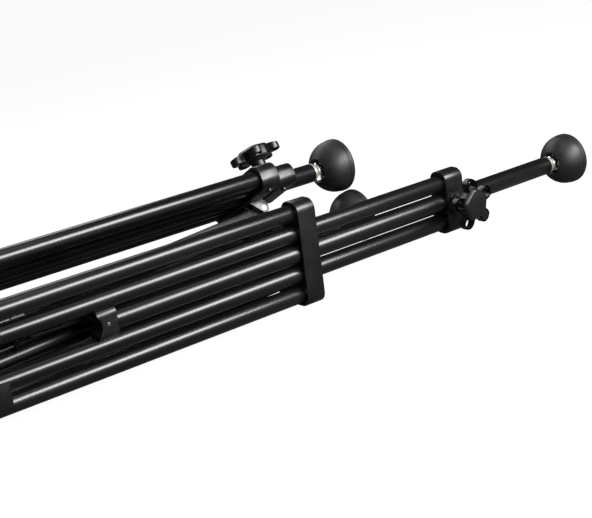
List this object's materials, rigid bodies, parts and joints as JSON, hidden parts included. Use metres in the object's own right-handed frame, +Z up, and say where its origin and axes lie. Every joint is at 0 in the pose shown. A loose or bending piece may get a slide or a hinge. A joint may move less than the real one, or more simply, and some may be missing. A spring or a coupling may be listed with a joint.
{
  "type": "video tripod with fluid head",
  "caption": "Folded video tripod lying down: twin-tube telescopic legs with collars, star lock knobs and rubber feet, mid-level spreader, bowl shoulder and fluid head with pan bar",
  "frame": {"origin": "under the middle of the bounding box, on the floor that the folded tripod lies on", "axes": "+X from the head towards the feet along the folded tripod, +Z up from the floor, +Y away from the leg that is pulled out"},
  "size_m": [1.214, 0.3386, 0.3649],
  "materials": {
    "black_tube": "satin black anodised tube",
    "black_casting": "satin black painted casting",
    "black_plastic": "satin black moulded plastic",
    "black_rubber": "matte black rubber",
    "plated_steel": "bright zinc plated steel",
    "anodised_aluminium": "satin dark anodised aluminium",
    "level_vial": "gloss clear vial with green fluid"
  },
  "bodies": {
    "crown": {"shoulder": "black_casting", "leg_1_hinge_axle": "plated_steel", "leg_2_hinge_axle": "plated_steel", "leg_3_hinge_axle": "plated_steel"},
    "leg_1_upper": {"leg_1_yoke": "black_casting", "leg_1_upper_tube_left": "black_tube", "leg_1_upper_tube_right": "black_tube", "leg_1_upper_collar": "black_casting"},
    "leg_1_arm": {"leg_1_spreader_arm": "black_casting"},
    "leg_1_middle": {"leg_1_middle_bridge": "black_plastic", "leg_1_middle_tube_left": "black_tube", "leg_1_middle_tube_right": "black_tube", "leg_1_lower_collar": "black_casting"},
    "leg_1_knob": {"leg_1_lock_knob": "black_plastic"},
    "leg_1_lower": {"leg_1_lower_tube": "black_tube", "leg_1_lower_guide": "black_plastic", "leg_1_foot_spike": "plated_steel"},
    "leg_1_foot": {"leg_1_foot_pad": "black_rubber"},
    "leg_2_upper": {"leg_2_yoke": "black_casting", "leg_2_upper_tube_left": "black_tube", "leg_2_upper_tube_right": "black_tube", "leg_2_upper_collar": "black_casting"},
    "leg_2_arm": {"leg_2_spreader_arm": "black_casting"},
    "leg_2_middle": {"leg_2_middle_bridge": "black_plastic", "leg_2_middle_tube_left": "black_tube", "leg_2_middle_tube_right": "black_tube", "leg_2_lower_collar": "black_casting"},
    "leg_2_knob": {"leg_2_lock_knob": "black_plastic"},
    "leg_2_lower": {"leg_2_lower_tube": "black_tube", "leg_2_lower_guide": "black_plastic", "leg_2_foot_spike": "plated_steel"},
    "leg_2_foot": {"leg_2_foot_pad": "black_rubber"},
    "leg_3_upper": {"leg_3_yoke": "black_casting", "leg_3_upper_tube_left": "black_tube", "leg_3_upper_tube_right": "black_tube", "leg_3_upper_collar": "black_casting"},
    "leg_3_arm": {"leg_3_spreader_arm": "black_casting"},
    "leg_3_middle": {"leg_3_middle_bridge": "black_plastic", "leg_3_middle_tube_left": "black_tube", "leg_3_middle_tube_right": "black_tube", "leg_3_lower_collar": "black_casting"},
    "leg_3_knob": {"leg_3_lock_knob": "black_plastic"},
    "leg_3_lower": {"leg_3_lower_tube": "black_tube", "leg_3_lower_guide": "black_plastic", "leg_3_foot_spike": "plated_steel"},
    "leg_3_foot": {"leg_3_foot_pad": "black_rubber"},
    "spreader_hub": {"spreader_hub": "black_casting"},
    "level": {"half_ball": "anodised_aluminium"},
    "bowl_knob": {"bowl_clamp_knob": "black_plastic"},
    "pan": {"pan_body": "black_casting", "bubble_level": "level_vial"},
    "tilt": {"tilt_cradle": "black_casting"},
    "plate": {"camera_plate": "anodised_aluminium"},
    "screw": {"camera_screw": "plated_steel"},
    "pan_lever": {"pan_lock_lever": "black_plastic"},
    "tilt_lever": {"tilt_lock_lever": "black_plastic"},
    "plate_lever": {"plate_lock_lever": "black_plastic"},
    "bar": {"pan_bar": "anodised_aluminium", "pan_bar_grip": "black_rubber"},
    "bar_knob": {"pan_bar_knob": "black_plastic"}
  },
  "joints": [
    {"name": "leg_1_spread", "type": "hinge", "parent": "crown", "child": "leg_1_upper", "pos_m": [-0.40314, 0.03793, 0.08042], "axis": [-0.0419, 0.0739, -0.9964], "range_deg": [0, 17]},
    {"name": "leg_1_arm_swing", "type": "hinge", "parent": "leg_1_upper", "child": "leg_1_arm", "pos_m": [0.20937, 0.05438, 0.05586], "axis": [-0.0419, 0.0739, -0.9964], "range_deg": [0, 20.9]},
    {"name": "leg_1_middle_slide", "type": "slide", "parent": "leg_1_upper", "child": "leg_1_middle", "axis": [0.9991, 0, -0.0421], "range_m": [-0.1738, 0.306]},
    {"name": "leg_1_lower_slide", "type": "slide", "parent": "leg_1_middle", "child": "leg_1_lower", "axis": [0.9991, 0, -0.0421], "range_m": [-0.103, 0.397]},
    {"name": "leg_1_knob_turn", "type": "hinge", "parent": "leg_1_middle", "child": "leg_1_knob", "pos_m": [0.40603, 0.03244, 0.04595], "axis": [-0.0031, -0.9973, -0.0739], "continuous": true},
    {"name": "leg_1_foot_turn", "type": "hinge", "parent": "leg_1_lower", "child": "leg_1_foot", "pos_m": [0.56599, 0.03244, 0.03922], "axis": [0.9991, 0, -0.0421], "continuous": true},
    {"name": "leg_2_spread", "type": "hinge", "parent": "crown", "child": "leg_2_upper", "pos_m": [-0.40101, 0.11238, 0.13105], "axis": [0.0183, -0.9006, 0.4342], "range_deg": [0, 17]},
    {"name": "leg_2_arm_swing", "type": "hinge", "parent": "leg_2_upper", "child": "leg_2_arm", "pos_m": [0.21083, 0.10521, 0.09042], "axis": [0.0183, -0.9006, 0.4342], "range_deg": [0, 20.9]},
    {"name": "leg_2_middle_slide", "type": "slide", "parent": "leg_2_upper", "child": "leg_2_middle", "axis": [0.9991, 0, -0.0421], "range_m": [0, 0.48]},
    {"name": "leg_2_lower_slide", "type": "slide", "parent": "leg_2_middle", "child": "leg_2_lower", "axis": [0.9991, 0, -0.0421], "range_m": [0, 0.5]},
    {"name": "leg_2_knob_turn", "type": "hinge", "parent": "leg_2_middle", "child": "leg_2_knob", "pos_m": [0.23474, 0.11477, 0.10925], "axis": [0.0379, 0.4346, 0.8998], "continuous": true},
    {"name": "leg_2_foot_turn", "type": "hinge", "parent": "leg_2_lower", "child": "leg_2_foot", "pos_m": [0.29179, 0.11477, 0.10685], "axis": [0.9991, 0, -0.0421], "continuous": true},
    {"name": "leg_3_spread", "type": "hinge", "parent": "crown", "child": "leg_3_upper", "pos_m": [-0.40478, 0.11904, 0.04131], "axis": [0.0237, 0.8267, 0.5622], "range_deg": [0, 21.3]},
    {"name": "leg_3_arm_swing", "type": "hinge", "parent": "leg_3_upper", "child": "leg_3_arm", "pos_m": [0.20692, 0.08422, 0.06677], "axis": [0.0237, 0.8267, 0.5622], "range_deg": [0, 25.4]},
    {"name": "leg_3_middle_slide", "type": "slide", "parent": "leg_3_upper", "child": "leg_3_middle", "axis": [0.9989, -0.0417, 0.0193], "range_m": [0, 0.24]},
    {"name": "leg_3_lower_slide", "type": "slide", "parent": "leg_3_middle", "child": "leg_3_lower", "axis": [0.9989, -0.0417, 0.0193], "range_m": [0, 0.24]},
    {"name": "leg_3_knob_turn", "type": "hinge", "parent": "leg_3_middle", "child": "leg_3_knob", "pos_m": [0.23086, 0.0956, 0.04902], "axis": [0.0394, 0.5611, -0.8268], "continuous": true},
    {"name": "leg_3_foot_turn", "type": "hinge", "parent": "leg_3_lower", "child": "leg_3_foot", "pos_m": [0.2879, 0.09322, 0.05012], "axis": [0.9989, -0.0417, 0.0193], "continuous": true},
    {"name": "hub_slide", "type": "slide", "parent": "crown", "child": "spreader_hub", "axis": [0.9991, 0, -0.0421], "range_m": [0, 0.0526]},
    {"name": "levelling", "type": "hinge", "parent": "crown", "child": "level", "pos_m": [-0.46092, 0.08978, 0.0867], "axis": [0.0031, 0.9973, 0.0739], "range_deg": [-6, 6]},
    {"name": "bowl_knob_turn", "type": "hinge", "parent": "level", "child": "bowl_knob", "pos_m": [-0.46092, 0.08978, 0.0867], "axis": [-0.9991, 0, 0.0421], "continuous": true},
    {"name": "pan_turn", "type": "hinge", "parent": "level", "child": "pan", "pos_m": [-0.46092, 0.08978, 0.0867], "axis": [-0.9991, 0, 0.0421], "continuous": true},
    {"name": "tilt_swing", "type": "hinge", "parent": "pan", "child": "tilt", "pos_m": [-0.55084, 0.08978, 0.09049], "axis": [-0.0237, -0.8267, -0.5622], "range_deg": [-45, 80]},
    {"name": "plate_slide", "type": "slide", "parent": "tilt", "child": "plate", "axis": [-0.0348, 0.5627, -0.826], "range_m": [-0.015, 0.015]},
    {"name": "camera_screw_turn", "type": "hinge", "parent": "plate", "child": "screw", "pos_m": [-0.55102, 0.0926, 0.08636], "axis": [-0.9991, 0, 0.0421], "continuous": true},
    {"name": "pan_lever_turn", "type": "hinge", "parent": "pan", "child": "pan_lever", "pos_m": [-0.48795, 0.12285, 0.11037], "axis": [-0.0237, -0.8267, -0.5622], "range_deg": [-45, 45]},
    {"name": "tilt_lever_turn", "type": "hinge", "parent": "tilt", "child": "tilt_lever", "pos_m": [-0.54985, 0.1245, 0.1141], "axis": [-0.0237, -0.8267, -0.5622], "range_deg": [-50, 50]},
    {"name": "plate_lever_turn", "type": "hinge", "parent": "tilt", "child": "plate_lever", "pos_m": [-0.58334, 0.13294, 0.1031], "axis": [-0.0237, -0.8267, -0.5622], "range_deg": [0, 70]},
    {"name": "pan_bar_swing", "type": "hinge", "parent": "tilt", "child": "bar", "pos_m": [-0.56465, 0.07065, 0.1192], "axis": [0.0237, 0.8267, 0.5622], "range_deg": [-80, 45]},
    {"name": "pan_bar_knob_turn", "type": "hinge", "parent": "tilt", "child": "bar_knob", "pos_m": [-0.56465, 0.07065, 0.1192], "axis": [-0.0237, -0.8267, -0.5622], "continuous": true}
  ],
  "couplings": [
    {"joint": "leg_1_arm_swing", "follows": "leg_1_spread", "ratio": 1.2281},
    {"joint": "leg_2_spread", "follows": "leg_1_spread", "ratio": 1},
    {"joint": "leg_2_arm_swing", "follows": "leg_1_spread", "ratio": 1.2281},
    {"joint": "leg_3_spread", "follows": "leg_1_spread", "ratio": 1.25},
    {"joint": "leg_3_arm_swing", "follows": "leg_1_spread", "ratio": 1.4908},
    {"joint": "hub_slide", "follows": "leg_1_spread", "m_per_rad": 0.17688}
  ]
}
